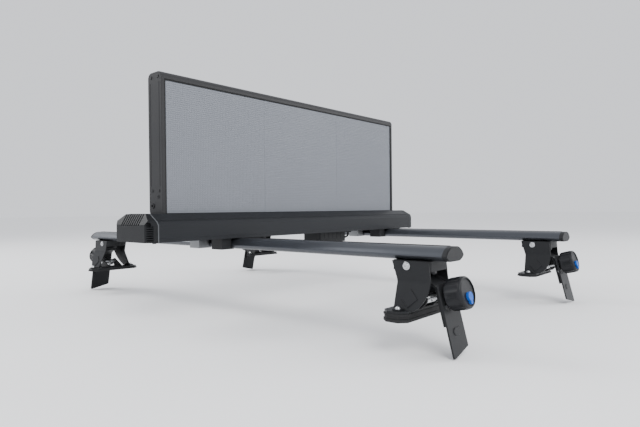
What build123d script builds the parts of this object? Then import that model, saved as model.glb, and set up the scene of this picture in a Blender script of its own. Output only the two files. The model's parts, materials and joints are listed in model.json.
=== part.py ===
from build123d import *
import os
from math import atan2, cos, degrees, radians, sin, tan

# Roof sign on cross bars: a flat LED panel that folds down onto a long base housing, which is
# clamped across two cross bars, each held on a vehicle roof by two clamp feet.
# Row frame, mm: X along the sign, -Y the side that the screen faces, +Z up.  The origin is
# midway between the bars and between their ends, in the plane of the feet's undersides.

# ---------------------------------------------------------------- driving dimensions
# cross bars
BAR_SPACING = 691.0          # between the bars' centre lines, along X
BAR_LENGTH = 1330.0          # the extrusion alone, along Y
BAR_WIDTH = 70.0
BAR_DEPTH = 27.5
BAR_WALL = 2.5
BAR_FLAT_BOTTOM = 32.0       # the seat for the saddles
BAR_FLAT_TOP = 14.0          # the seat for the base housing
BAR_EDGE_HEIGHT = 10.5       # of the nose's middle above the bar's bottom
BAR_SLOT = 9.0               # of the T-slot underneath
BAR_CAP_LENGTH = 10.0        # of each moulded end cap
BAR_CAP_RIM = 1.2            # step round the cap's outer edge

# feet
FOOT_INSET = 68.0            # foot's middle to the end of the bar's extrusion
TOWER_HEIGHT = 90.0          # base plate's top, at the foot's middle, to the bar's bottom
TOWER_WIDTH = 70.0           # over the side plates, along X
TOWER_DEPTH = 79.0           # of a side plate at its top, along Y
SIDE_THICK = 3.0
CREASE_RADIUS = 22.0
DIAMOND_WIDTH = 36.0
DIAMOND_HEIGHT = 38.0
DIAMOND_RAISE = 1.6
DIAMOND_OUTBOARD = 9.0       # diamond's middle from the foot's middle
DIAMOND_DROP = 34.5          # below the bend, along the splayed part
CREASE_HEIGHT = 53.0         # of the side plate's bend above the base plate
FLARE = 22.0                 # how far each side plate splays out below its bend
PAD_LENGTH = 157.0
PAD_WIDTH = 51.0
PAD_THICK = 4.0
PAD_CHAMFER = 14.0
PAD_EDGE = 1.5               # how far the rubber shows past the plate
PAD_SHIFT = 10.0             # pad's middle inboard of the foot's middle
PLATE_THICK = 5.0
PACKER_THICK = 5.75          # two extra layers lie under the left front foot alone
TAB_THICK = 3.0
TAB_WIDTH = 16.0
TAB_REACH = 16.0
DOME_BOLT_RADIUS = 3.0
DOME_BOLT_REACH = 9.0        # beyond the side plate's foot
FOOT_SCREW_RADIUS = 3.0
FOOT_SCREW_DROP = 10.5       # below the bar
FOOT_SCREW_OFFSET = 5.0      # inboard of the foot's middle
SADDLE_DEPTH = 19.0
T_BOLT_PLACES = (-32.0, 24.0)

# clamp of each foot, in its side view: (outboard -, height above the roof plane)
PIVOT_OFFSET = -10.0
PIVOT_DROP = 27.0            # below the bar
PIN_RADIUS = 4.0
EYE_RADIUS = 9.0
CLAMP_TILT = 14.0            # degrees, hook and knob turned up and out
KNOB_OFFSET = -62.0
KNOB_DROP = 64.0             # below the bar
STRAP_WIDTH = 48.0
STRAP_THICK = 4.0
STRAP_GAP = 8.0              # strap's middle to hook plate's middle
STRAP_RISE = 19.0            # above the bolt
STRAP_FALL = 54.0            # below the bolt
RIVET_DROP = 20.0            # below the bolt
RIVET_SPREAD = 16.0          # each side of the bolt
RIVET_RADIUS = 3.0
HOOK_WIDTH = 62.0
HOOK_THICK = 3.5
HOOK_RISE = 24.0
HOOK_FALL = 105.0
OVAL_DROP = 66.0             # pressed oval's middle below the bolt
OVAL_LENGTH = 27.0
OVAL_WIDTH = 15.0
OVAL_RAISE = 1.5
HOOK_SKEW = 14.0             # one side of each hook's tip is this much lower than the other
BOLT_RADIUS = 4.0
BOLT_END = 66.0              # inboard end of the clamp bolt, from the hook plate
KNOB_RADIUS = 30.0
KNOB_LENGTH = 35.0
KNOB_BACK = 6.5              # back of the knob, outboard of the hook plate's middle
KNOB_LOBES = 8
DISH_RADIUS = 25.0           # of the shallow dish in the knob's face, which the lock cover swings in
COVER_RADIUS = 8.5
COVER_THICK = 5.0
COVER_DROP = 8.0             # cover's middle below the knob's axis
COVER_ARM = 10.0             # cover's middle to its rivet
COVER_PIN = 8.0
COVER_PIN_RADIUS = 2.0
TRUNNION_RADIUS = 5.0
BARREL_RADIUS = 8.0
BARREL_LENGTH = 39.0
EAR_THICK = 4.0

# sign: base housing
OVERHANG_LEFT = 249.5        # bar's middle to the gasket's outer face, past the left bar
OVERHANG_RIGHT = 121.5
SIGN_Y = -16.0
BASE_WIDTH = 152.7
BASE_FRONT = 38.3            # height of the upright front face
BASE_HEIGHT = 64.0
BEVEL_RUN = 6.0
BEVEL_RISE = 7.7
SLOPE_RUN = 28.0
BASE_WALL = 3.0
TROUGH_DEPTH = 8.0
GASKET_THICK = 2.5
GASKET_PROUD = 0.6
CAP_FLANGE = 9.5
CAP_NOSE = 14.0
CAP_CORNER = 16.0            # nose's sides drawn in from the flange, along Y
CAP_NOSE_TOP = 40.0
FIN_PITCH = 5.0
FIN_GAP = 2.6
FIN_COUNT = 7
RIB_PITCH = 9.0
CAP_SCREW_RADIUS = 2.5
CAP_PORT_RADIUS = 5.5        # of the screw ports inside the housing's shoulders

# sign: panel
PANEL_LENGTH = 976.0         # over the end plates
PANEL_DEPTH = 56.4
PANEL_HEIGHT = 339.5
PANEL_GAP = 2.0              # over the trough's floor
PANEL_ROUND_TOP = 14.0
PANEL_ROUND_BACK = 14.0      # lower back edge, which turns past the trough's floor
PANEL_ROUND_FRONT = 3.0
PANEL_WALL = 2.5
END_PLATE_THICK = 4.0
WINDOW_LENGTH = 959.0
WINDOW_BOTTOM = 3.5
WINDOW_TOP = 18.0            # from the panel's top
LIP_THICK = 3.0
MODULE_LENGTH = 320.0
MODULE_HEIGHT = 160.0
MODULE_DEPTH = 18.0
MODULE_COLUMNS = 3
MODULE_ROWS = 2
HINGE_RADIUS = 4.0
HINGE_RISE = 24.5            # above the panel's bottom
HINGE_FROM_BACK = 15.4
LUG_THICK = 8.0
LUG_RADIUS = 11.0
LUG_INSET = 7.0              # lug's outer face from the panel's end face
BUFFER_HEIGHT = 3.0

# sign clamps and wiring
CLAMP_PITCH = 93.0           # front clamp to rear clamp, along Y
CLAMP_WIDTH = 40.0
CLAMP_REACH = 66.0           # outer face from the bar's middle
CLAMP_BOLT_RADIUS = 4.0
BOX_START = -2.0             # junction box, row X
BOX_LENGTH = 131.0
BOX_WIDTH = 70.0
BOX_HEIGHT = 34.0
CABLE_RADIUS = 3.0
CABLE_REACH = 186.0          # where the lead turns up into the base, row X

# clearances
SLIP = 0.05                  # radial, of a pin that turns in its bore
LOOSE = 0.3                  # radial, of a screw in its hole
GAP = 0.5                    # between neighbours that must not touch

# ---------------------------------------------------------------- derived places
PLATE_TOP = PAD_THICK + PLATE_THICK
BAR_BOTTOM = PLATE_TOP + TOWER_HEIGHT
BAR_TOP = BAR_BOTTOM + BAR_DEPTH
FOOT_Y = BAR_LENGTH / 2 - FOOT_INSET
BASE_LENGTH = OVERHANG_LEFT + BAR_SPACING + OVERHANG_RIGHT      # over the gaskets, without the end caps
SIGN_X = (OVERHANG_RIGHT - OVERHANG_LEFT) / 2                   # sign's middle from the row's origin
HALF_TOWER = TOWER_WIDTH / 2
PIVOT = (PIVOT_OFFSET, BAR_BOTTOM - PIVOT_DROP)
BOLT_POINT = (KNOB_OFFSET, BAR_BOTTOM - KNOB_DROP)
OUT = (-cos(radians(CLAMP_TILT)), sin(radians(CLAMP_TILT)))
DOWN = (-sin(radians(CLAMP_TILT)), -cos(radians(CLAMP_TILT)))

FEET = {
    "left_front": (-BAR_SPACING / 2, -1),
    "left_rear": (-BAR_SPACING / 2, 1),
    "right_front": (BAR_SPACING / 2, -1),
    "right_rear": (BAR_SPACING / 2, 1),
}


# ---------------------------------------------------------------- helpers
def block(x0, x1, y0, y1, z0, z1):
    """Box between two corners."""
    return Pos((x0 + x1) / 2, (y0 + y1) / 2, (z0 + z1) / 2) * Box(x1 - x0, y1 - y0, z1 - z0)


def rod(start, end, radius):
    """Cylinder from one point to another."""
    start, end = Vector(*start), Vector(*end)
    axis = Plane(origin=start, z_dir=end - start)
    return axis * Cylinder(radius, (end - start).length, align=(Align.CENTER, Align.CENTER, Align.MIN))


def along_x(face, x0, x1):
    """Prism of a face drawn as (Y, Z), from x0 to x1."""
    return Pos(x0, 0, 0) * extrude(Plane.YZ * face, x1 - x0)


def along_y(face, y0, y1):
    """Prism of a face drawn as (X, Z), from y0 to y1."""
    return Pos(0, y1, 0) * extrude(Plane.XZ * face, y1 - y0)


def polygon(*points):
    return make_face(Polyline(*points, close=True))


def side_point(outward, downward):
    """(Y, Z) of a point beside the clamp bolt's crossing with the hook plate."""
    return (
        BOLT_POINT[0] + outward * OUT[0] + downward * DOWN[0],
        BOLT_POINT[1] + outward * OUT[1] + downward * DOWN[1],
    )


def clamp_axis(outward, downward=0.0, across=0.0):
    """Plane whose Z runs outboard along the knob's axis and whose Y points up the hook."""
    y, z = side_point(outward, downward)
    return Plane(origin=(across, y, z), x_dir=(1, 0, 0), z_dir=(0, OUT[0], OUT[1]))


def on_pad(shape):
    """Places a shape drawn about the pad's middle in the foot's frame."""
    return Pos(0, PAD_SHIFT, 0) * shape


def at_foot(foot, shape):
    """Moves a shape from the front foot's own frame to the named foot."""
    bar_x, side = FEET[foot]
    turn = 180 if side > 0 else 0
    return Pos(bar_x, side * FOOT_Y, 0) * Rot(0, 0, turn) * shape


def at_all_feet(shape):
    return [at_foot(foot, shape) for foot in FEET]


def on_sign(shape):
    """Places a shape drawn about the base housing's middle, with Z from its underside."""
    return Pos(SIGN_X, SIGN_Y, BAR_TOP) * shape


def save(name, *shapes):
    """Writes one node: its solids, side by side in one STEP file."""
    solids = [solid for shape in shapes for solid in shape.solids()]
    node = solids[0] if len(solids) == 1 else Compound(children=solids)
    export_step(node, f"parts/{name}.step")


# ---------------------------------------------------------------- cross bars
def bar_profile(inset=0.0):
    """The bar's flat wing section as (X, Z), drawn in by the inset."""
    half = BAR_WIDTH / 2 - inset
    low, high = BAR_BOTTOM + inset, BAR_TOP - inset
    seat, crest = BAR_FLAT_BOTTOM / 2 - inset / 2, BAR_FLAT_TOP / 2
    edge = BAR_BOTTOM + BAR_EDGE_HEIGHT
    nose = 2.0
    reach = half - 1.0
    under = TangentArc((seat, low), (reach, edge - nose), tangent=(1, 0))
    tip = ThreePointArc((reach, edge - nose), (half, edge), (reach, edge + nose))
    over = TangentArc((crest, high), (reach, edge + nose), tangent=(1, 0))
    right = [under, tip, over]
    left = [mirror(edge_piece, Plane.YZ) for edge_piece in right]
    flats = [Line((-seat, low), (seat, low)), Line((crest, high), (-crest, high))]
    return make_face(Wire(Curve() + right + left + flats))


def make_bar():
    half = BAR_LENGTH / 2
    bar = along_y(bar_profile(), -half, half) - along_y(bar_profile(BAR_WALL), -half - 1, half + 1)
    slot = block(-BAR_SLOT / 2, BAR_SLOT / 2, -half - 1, half + 1, BAR_BOTTOM - 1, BAR_BOTTOM + BAR_WALL + 1)
    return bar - slot


def make_bar_cap():
    """Moulded cap on the bar's front end, with a plug that fills the tube's mouth."""
    end = -BAR_LENGTH / 2
    rim = end - BAR_CAP_LENGTH + BAR_CAP_RIM
    cap = along_y(bar_profile(), rim, end) + along_y(bar_profile(BAR_CAP_RIM), end - BAR_CAP_LENGTH, rim)
    return cap + along_y(bar_profile(BAR_WALL + LOOSE), end, end + 14.0)


def bar_pieces():
    bar, cap = make_bar(), make_bar_cap()
    bars, caps = [], []
    for x in (-BAR_SPACING / 2, BAR_SPACING / 2):
        bars.append(Pos(x, 0, 0) * bar)
        caps += [Pos(x, 0, 0) * cap, Pos(x, 0, 0) * Rot(0, 0, 180) * cap]
    return bars, caps


# ---------------------------------------------------------------- fixed pieces of a foot
def below_plate():
    """The space under the base plate's top face."""
    return on_pad(block(-PAD_LENGTH, PAD_LENGTH, -PAD_LENGTH, PAD_LENGTH, -PAD_LENGTH, PLATE_TOP))


def side_outline():
    """Side plate seen along X, as (Y, Z), leaning outboard and rounded at its outer foot."""
    top = BAR_BOTTOM - 1.0
    crease = PLATE_TOP + CREASE_HEIGHT
    inner, outer = TOWER_DEPTH / 2 - 2.5, -TOWER_DEPTH / 2 - 2.5
    foot_in, floor = inner - 17.0, PLATE_TOP - 4.0
    lines = [
        Line((outer, top), (outer - 4.0, crease - 6.0)),
        ThreePointArc((outer - 4.0, crease - 6.0), (outer + 2.0, PLATE_TOP + 19.0), (outer + 27.0, floor)),
        Line((outer + 27.0, floor), (foot_in, floor)),
        Line((foot_in, floor), (foot_in + 4.0, crease - 4.0)),
        Line((foot_in + 4.0, crease - 4.0), (inner, top)),
        Line((inner, top), (outer, top)),
    ]
    return make_face(Wire(lines))


def make_side_plate():
    """The -X side plate: upright above its bend, splayed below it, with a bolted tab."""
    top, crease = BAR_BOTTOM - 1.0, PLATE_TOP + CREASE_HEIGHT
    floor = PLATE_TOP - 4.0
    spread = FLARE * (crease - floor) / CREASE_HEIGHT
    inner = -HALF_TOWER + SIDE_THICK
    skin = polygon(
        (-HALF_TOWER, top), (-HALF_TOWER, crease), (-HALF_TOWER - spread, floor),
        (inner - spread, floor), (inner, crease), (inner, top),
    )
    creases = [corner for corner in skin.vertices() if abs(corner.Y - crease) < 0.1]
    bent = along_y(fillet(creases, CREASE_RADIUS), -TOWER_DEPTH, TOWER_DEPTH)
    plate = bent & along_x(side_outline(), -TOWER_WIDTH * 2, 0)
    diamond = emboss_diamond(crease)
    foot_x = -HALF_TOWER - FLARE
    tab = on_pad(block(
        foot_x - TAB_REACH, foot_x + 4.0,
        FOOT_SCREW_OFFSET - PAD_SHIFT - TAB_WIDTH / 2, FOOT_SCREW_OFFSET - PAD_SHIFT + TAB_WIDTH / 2,
        PLATE_TOP, PLATE_TOP + TAB_THICK,
    ))
    bolt_x, bolt_y = foot_x - DOME_BOLT_REACH, FOOT_SCREW_OFFSET - PAD_SHIFT
    hole = rod((bolt_x, bolt_y, PLATE_TOP - 1), (bolt_x, bolt_y, PLATE_TOP + 9), DOME_BOLT_RADIUS + LOOSE)
    hole = on_pad(hole)
    screw_z = BAR_BOTTOM - FOOT_SCREW_DROP
    bore = rod((-HALF_TOWER - 5, FOOT_SCREW_OFFSET, screw_z), (-20, FOOT_SCREW_OFFSET, screw_z),
               FOOT_SCREW_RADIUS + LOOSE)
    return (plate + diamond - below_plate() + tab) - hole - bore


def emboss_diamond(crease):
    """Raised diamond pressed in the middle of the splayed part."""
    lean = atan2(FLARE, CREASE_HEIGHT)
    outward = (-cos(lean), 0, sin(lean))
    splayed = Plane(origin=(-HALF_TOWER, 0, crease), x_dir=(0, -1, 0), z_dir=outward)
    half_width, half_height = DIAMOND_WIDTH / 2, DIAMOND_HEIGHT / 2
    outline = polygon((-half_width, 0), (0, -half_height), (half_width, 0), (0, half_height))
    sunk = 0.5
    place = Pos(DIAMOND_OUTBOARD, -DIAMOND_DROP, -sunk)
    return splayed * place * extrude(outline, DIAMOND_RAISE + sunk, taper=25)


def make_saddle():
    """Block under the bar, with two lugs that carry the strap's pin."""
    half = HALF_TOWER - SIDE_THICK
    front, back = -TOWER_DEPTH / 2 - 5.0, TOWER_DEPTH / 2 - 2.5
    body = block(-half, half, front, back, BAR_BOTTOM - SADDLE_DEPTH, BAR_BOTTOM)
    body = fillet(body.edges().filter_by(Axis.Z), 4.0)
    lug_start = STRAP_WIDTH / 2 + 1.0
    for side in (-1, 1):
        x0, x1 = sorted((side * lug_start, side * half))
        body += block(x0, x1, PIVOT[0] - 10, PIVOT[0] + 10, PIVOT[1], BAR_BOTTOM - SADDLE_DEPTH)
        body += rod((x0, PIVOT[0], PIVOT[1]), (x1, PIVOT[0], PIVOT[1]), 10)
    body -= rod((-lug_start, *PIVOT), (lug_start, *PIVOT), EYE_RADIUS + GAP)
    body -= rod((-half - 1, PIVOT[0], PIVOT[1]), (half + 1, PIVOT[0], PIVOT[1]), PIN_RADIUS + SLIP)
    screw_z = BAR_BOTTOM - FOOT_SCREW_DROP
    body -= rod((-half - 1, FOOT_SCREW_OFFSET, screw_z), (half + 1, FOOT_SCREW_OFFSET, screw_z),
                FOOT_SCREW_RADIUS + SLIP)
    for y in T_BOLT_PLACES:
        body -= rod((0, y, BAR_BOTTOM - SADDLE_DEPTH - 1), (0, y, BAR_BOTTOM + 1), BOLT_RADIUS + LOOSE)
    return body


def make_t_bolts():
    """Two T-bolts that hang from the bar's slot, each with its nut under the saddle."""
    pieces = []
    under = BAR_BOTTOM - SADDLE_DEPTH
    inside = BAR_BOTTOM + BAR_WALL
    for y in T_BOLT_PLACES:
        bolt = rod((0, y, under - 8.0), (0, y, inside), BOLT_RADIUS)
        bolt += block(-7, 7, y - 7, y + 7, inside, inside + 4.0)
        nut = Pos(0, y, under - 6.0) * extrude(RegularPolygon(7.0, 6), 6.0)
        nut -= rod((0, y, under - 9.0), (0, y, under + 1.0), BOLT_RADIUS + SLIP)
        pieces += [bolt, nut]
    return pieces


def make_foot_screws():
    """The cap screw that holds each side plate to the saddle, and its mirror image."""
    z = BAR_BOTTOM - FOOT_SCREW_DROP
    head_start = -HALF_TOWER
    screw = rod((head_start, FOOT_SCREW_OFFSET, z), (-16, FOOT_SCREW_OFFSET, z), FOOT_SCREW_RADIUS)
    head = rod((head_start - 3.6, FOOT_SCREW_OFFSET, z), (head_start, FOOT_SCREW_OFFSET, z), 5.6)
    head = fillet(head.edges().group_by(Axis.X)[0], 1.6)
    socket = extrude(RegularPolygon(2.6, 6), 2.2)
    socket = Pos(head_start - 3.7, FOOT_SCREW_OFFSET, z) * Rot(0, 90, 0) * socket
    left = screw + head - socket
    return [left, mirror(left, Plane.YZ)]


def make_base_plate():
    plate = block(-PAD_LENGTH / 2, PAD_LENGTH / 2, -PAD_WIDTH / 2, PAD_WIDTH / 2, PAD_THICK, PLATE_TOP)
    plate = chamfer(plate.edges().filter_by(Axis.Z), PAD_CHAMFER)
    foot_x = HALF_TOWER + FLARE + DOME_BOLT_REACH
    for x in (-foot_x, foot_x):
        plate -= rod((x, FOOT_SCREW_OFFSET - PAD_SHIFT, 0), (x, FOOT_SCREW_OFFSET - PAD_SHIFT, 20),
                     DOME_BOLT_RADIUS + SLIP)
    return on_pad(plate)


def make_pad(top, thickness, grow):
    """One rubber layer, a little wider than the plate over it, with a grooved edge."""
    half_x, half_y = PAD_LENGTH / 2 + grow, PAD_WIDTH / 2 + grow
    pad = block(-half_x, half_x, -half_y, half_y, top - thickness, top)
    pad = chamfer(pad.edges().filter_by(Axis.Z), PAD_CHAMFER)
    return on_pad(fillet(pad.edges().group_by(Axis.Z)[0], 1.0))


def make_dome_bolts():
    """Dome-headed bolts through each side plate's tab into the base plate."""
    pieces = []
    for x in (-HALF_TOWER - FLARE - DOME_BOLT_REACH, HALF_TOWER + FLARE + DOME_BOLT_REACH):
        y = FOOT_SCREW_OFFSET - PAD_SHIFT
        seat = PLATE_TOP + TAB_THICK
        bolt = rod((x, y, PAD_THICK + GAP), (x, y, seat), DOME_BOLT_RADIUS)
        head = Pos(x, y, seat) * Sphere(5.4) & block(x - 6, x + 6, y - 6, y + 6, seat, seat + 6)
        pieces.append(on_pad(bolt + head))
    return pieces


def trunnion_centre():
    """Foot of the perpendicular from the strap's pivot to the clamp bolt, as (Y, Z)."""
    across = (PIVOT[0] - BOLT_POINT[0]) * OUT[0] + (PIVOT[1] - BOLT_POINT[1]) * OUT[1]
    return (BOLT_POINT[0] + across * OUT[0], BOLT_POINT[1] + across * OUT[1])


def make_trunnion_bracket():
    """Two ears on a foot plate, carrying the trunnion nut between the side plates."""
    y, z = trunnion_centre()
    inner = BARREL_LENGTH / 2 + GAP
    bracket = on_pad(block(-inner - EAR_THICK, inner + EAR_THICK, -20.0, 14.0, PLATE_TOP, PLATE_TOP + 3.0))
    web = polygon((y - 6.0, z - 8.0), (y + 2.0, z + 9.8), (PAD_SHIFT + 12.0, PLATE_TOP + 6.0),
                  (PAD_SHIFT + 12.0, PLATE_TOP - 8.0), (PAD_SHIFT - 22.0, PLATE_TOP - 8.0))
    for side in (-1, 1):
        x0, x1 = sorted((side * inner, side * (inner + EAR_THICK)))
        bracket += along_x(web, x0, x1) + rod((x0, y, z), (x1, y, z), 10.0)
    bracket -= rod((-40, y, z), (40, y, z), TRUNNION_RADIUS + SLIP)
    return bracket - below_plate()


def make_pivot_pin():
    half = HALF_TOWER - SIDE_THICK
    return rod((-half + GAP, PIVOT[0], PIVOT[1]), (half - GAP, PIVOT[0], PIVOT[1]), PIN_RADIUS)


# ---------------------------------------------------------------- moving pieces of a foot
def make_strap():
    """Bent strap: an eye on the pin, a link that slopes outboard, and a long lower leaf."""
    bend = side_point(-STRAP_GAP, -STRAP_RISE)
    tip = side_point(-STRAP_GAP, STRAP_FALL)
    half = STRAP_WIDTH / 2
    centre_line = FilletPolyline(PIVOT, bend, tip, radius=9)
    strap = along_x(trace(centre_line, STRAP_THICK), -half, half)
    strap += rod((-half, *PIVOT), (half, *PIVOT), EYE_RADIUS)
    strap -= rod((-half - 1, *PIVOT), (half + 1, *PIVOT), PIN_RADIUS + SLIP)
    hole = clamp_axis(0) * Cylinder(BOLT_RADIUS + 2 * LOOSE, 60)
    strap -= hole
    for across in (-RIVET_SPREAD, RIVET_SPREAD):
        strap -= clamp_axis(0, RIVET_DROP, across) * Cylinder(RIVET_RADIUS + SLIP, 40)
    return strap


def make_hook(skew):
    """Hook plate outside the strap; its lower edge is skewed, and an oval stands out from it."""
    half = HOOK_WIDTH / 2
    outline = make_face(FilletPolyline(
        (-half, HOOK_RISE), (half, HOOK_RISE), (half, -HOOK_FALL + skew / 2), (-half, -HOOK_FALL - skew / 2),
        radius=3.0, close=True,
    ))
    plate = clamp_axis(-HOOK_THICK / 2) * extrude(outline, HOOK_THICK)
    plate -= clamp_axis(0) * Cylinder(BOLT_RADIUS + 2 * LOOSE, 60)
    oval = Pos(0, -OVAL_DROP) * SlotOverall(OVAL_LENGTH, OVAL_WIDTH)
    plate += clamp_axis(HOOK_THICK / 2) * extrude(oval, OVAL_RAISE, taper=30)
    for across in (-RIVET_SPREAD, RIVET_SPREAD):
        plate -= clamp_axis(0, RIVET_DROP, across) * Cylinder(RIVET_RADIUS + SLIP, 40)
    return plate


def make_rivets():
    """Two shouldered rivets that hold the strap and the hook plate a set distance apart."""
    inner, outer = -STRAP_GAP + STRAP_THICK / 2, -HOOK_THICK / 2
    pieces = []
    for across in (-RIVET_SPREAD, RIVET_SPREAD):
        rivet = clamp_axis(inner, RIVET_DROP, across) * extrude(Circle(5.5), outer - inner)
        start = -STRAP_GAP - STRAP_THICK / 2
        rivet += clamp_axis(start, RIVET_DROP, across) * extrude(Circle(RIVET_RADIUS), HOOK_THICK / 2 - start)
        rivet += clamp_axis(start - 1.6, RIVET_DROP, across) * extrude(Circle(5.0), 1.6)
        rivet += clamp_axis(HOOK_THICK / 2, RIVET_DROP, across) * extrude(Circle(5.0), 1.6)
        pieces.append(rivet)
    return pieces


def make_clamp_bolt():
    """Threaded bolt with a collar that bears on the hook plate."""
    start = -BOLT_END
    bolt = clamp_axis(start) * extrude(Circle(BOLT_RADIUS), KNOB_BACK + 18.0 - start)
    collar = HOOK_THICK / 2 + LOOSE
    bolt += clamp_axis(collar) * extrude(Circle(9.0), KNOB_BACK - collar)
    return bolt


def make_knob():
    """Scalloped hand knob, dished in front, with a pocket for its lock."""
    core = clamp_axis(KNOB_BACK) * extrude(Circle(KNOB_RADIUS), KNOB_LENGTH)
    core = fillet(core.edges().filter_by(GeomType.CIRCLE), 4.0)
    groove_radius = 15.0
    for lobe in range(KNOB_LOBES):
        turn = (lobe + 0.5) * 360.0 / KNOB_LOBES
        groove = Rot(0, 0, turn) * Pos(KNOB_RADIUS + groove_radius - 2.4, 0, 0) * Circle(groove_radius)
        core -= clamp_axis(KNOB_BACK - 1) * extrude(groove, KNOB_LENGTH - 5.0)
    front = KNOB_BACK + KNOB_LENGTH
    core -= clamp_axis(front - 2.0) * extrude(Circle(DISH_RADIUS), 5.0)
    core -= clamp_axis(front - 9.0, COVER_DROP) * extrude(Circle(5.0), 10.0)
    rivet_hole = clamp_axis(front - COVER_PIN - 3.0, COVER_DROP + COVER_ARM)
    core -= rivet_hole * extrude(Circle(COVER_PIN_RADIUS + SLIP), COVER_PIN + 3.0)
    return core - clamp_axis(0) * extrude(Circle(BOLT_RADIUS), KNOB_BACK + 18.0)


def make_lock_cover():
    """Flap over the knob's lock, which turns on a small rivet."""
    front = KNOB_BACK + KNOB_LENGTH - 2.0 + LOOSE
    flap = Pos(0, -COVER_DROP) * Circle(COVER_RADIUS) + Pos(0, -COVER_DROP - COVER_ARM) * Circle(4.0)
    flap += Pos(0, -COVER_DROP - COVER_ARM / 2) * Rectangle(8.0, COVER_ARM)
    cover = clamp_axis(front) * extrude(flap, COVER_THICK)
    rivet = extrude(Circle(COVER_PIN_RADIUS), COVER_PIN)
    rivet = clamp_axis(front - COVER_PIN, COVER_DROP + COVER_ARM) * rivet
    return cover + rivet


def make_trunnion_nut():
    """Barrel nut with a trunnion at each end; its cross hole gives the bolt room to swing."""
    y, z = trunnion_centre()
    half = BARREL_LENGTH / 2
    reach = half + GAP + EAR_THICK + 1.0
    nut = rod((-half, y, z), (half, y, z), BARREL_RADIUS)
    nut += rod((-reach, y, z), (reach, y, z), TRUNNION_RADIUS)
    across = Pos(0, -0.85) * Rot(0, 0, 90) * SlotOverall(2 * BOLT_RADIUS + 2.5, 2 * BOLT_RADIUS + 0.8)
    return nut - clamp_axis(-BOLT_END) * extrude(across, BOLT_END)


# ---------------------------------------------------------------- base housing
def base_outline():
    """Corner points of the housing's section as (Y, Z), without its trough."""
    half = BASE_WIDTH / 2
    shoulder = half - BEVEL_RUN
    deck = shoulder - SLOPE_RUN
    front = [(-half, 0), (-half, BASE_FRONT), (-shoulder, BASE_FRONT + BEVEL_RISE), (-deck, BASE_HEIGHT)]
    return front + [(-y, z) for y, z in reversed(front)]


def base_face(grow=0.0):
    face = polygon(*base_outline())
    return offset(face, grow, kind=Kind.INTERSECTION) if grow else face


def trough_face():
    low = BASE_HEIGHT - TROUGH_DEPTH
    return polygon((TROUGH_FRONT, low), (TROUGH_FRONT, BASE_HEIGHT + 1),
                   (TROUGH_BACK, BASE_HEIGHT + 1), (TROUGH_BACK, low))


TROUGH_FRONT = -PANEL_DEPTH / 2 - 4.0
TROUGH_BACK = PANEL_DEPTH / 2 + 2.0
EXTRUSION_HALF = BASE_LENGTH / 2 - GASKET_THICK
PANEL_BOTTOM = BASE_HEIGHT - TROUGH_DEPTH + PANEL_GAP
HINGE_Y = PANEL_DEPTH / 2 - HINGE_FROM_BACK
HINGE_Z = PANEL_BOTTOM + HINGE_RISE


def make_base_housing():
    section = base_face() - trough_face()
    hollow = offset(section, -BASE_WALL, kind=Kind.INTERSECTION)
    section -= hollow
    for y, z in cap_screw_places():
        section += Pos(y, z) * Circle(CAP_PORT_RADIUS)
        section -= Pos(y, z) * Circle(CAP_SCREW_RADIUS + SLIP)
    housing = along_x(section, -EXTRUSION_HALF, EXTRUSION_HALF)
    gland_x = CABLE_REACH - SIGN_X
    housing -= rod((gland_x, 0, -1), (gland_x, 0, BASE_WALL + 1), 8.0 + LOOSE)
    return on_sign(housing)


def make_gasket():
    """Seal between the housing's right end and its end cap."""
    ring = base_face(GASKET_PROUD) - base_face(-BASE_WALL - 4.0)
    for y, z in cap_screw_places():
        ring += Pos(y, z) * Circle(CAP_PORT_RADIUS)
        ring -= Pos(y, z) * Circle(CAP_SCREW_RADIUS + LOOSE)
    return along_x(ring, EXTRUSION_HALF, EXTRUSION_HALF + GASKET_THICK)


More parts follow.
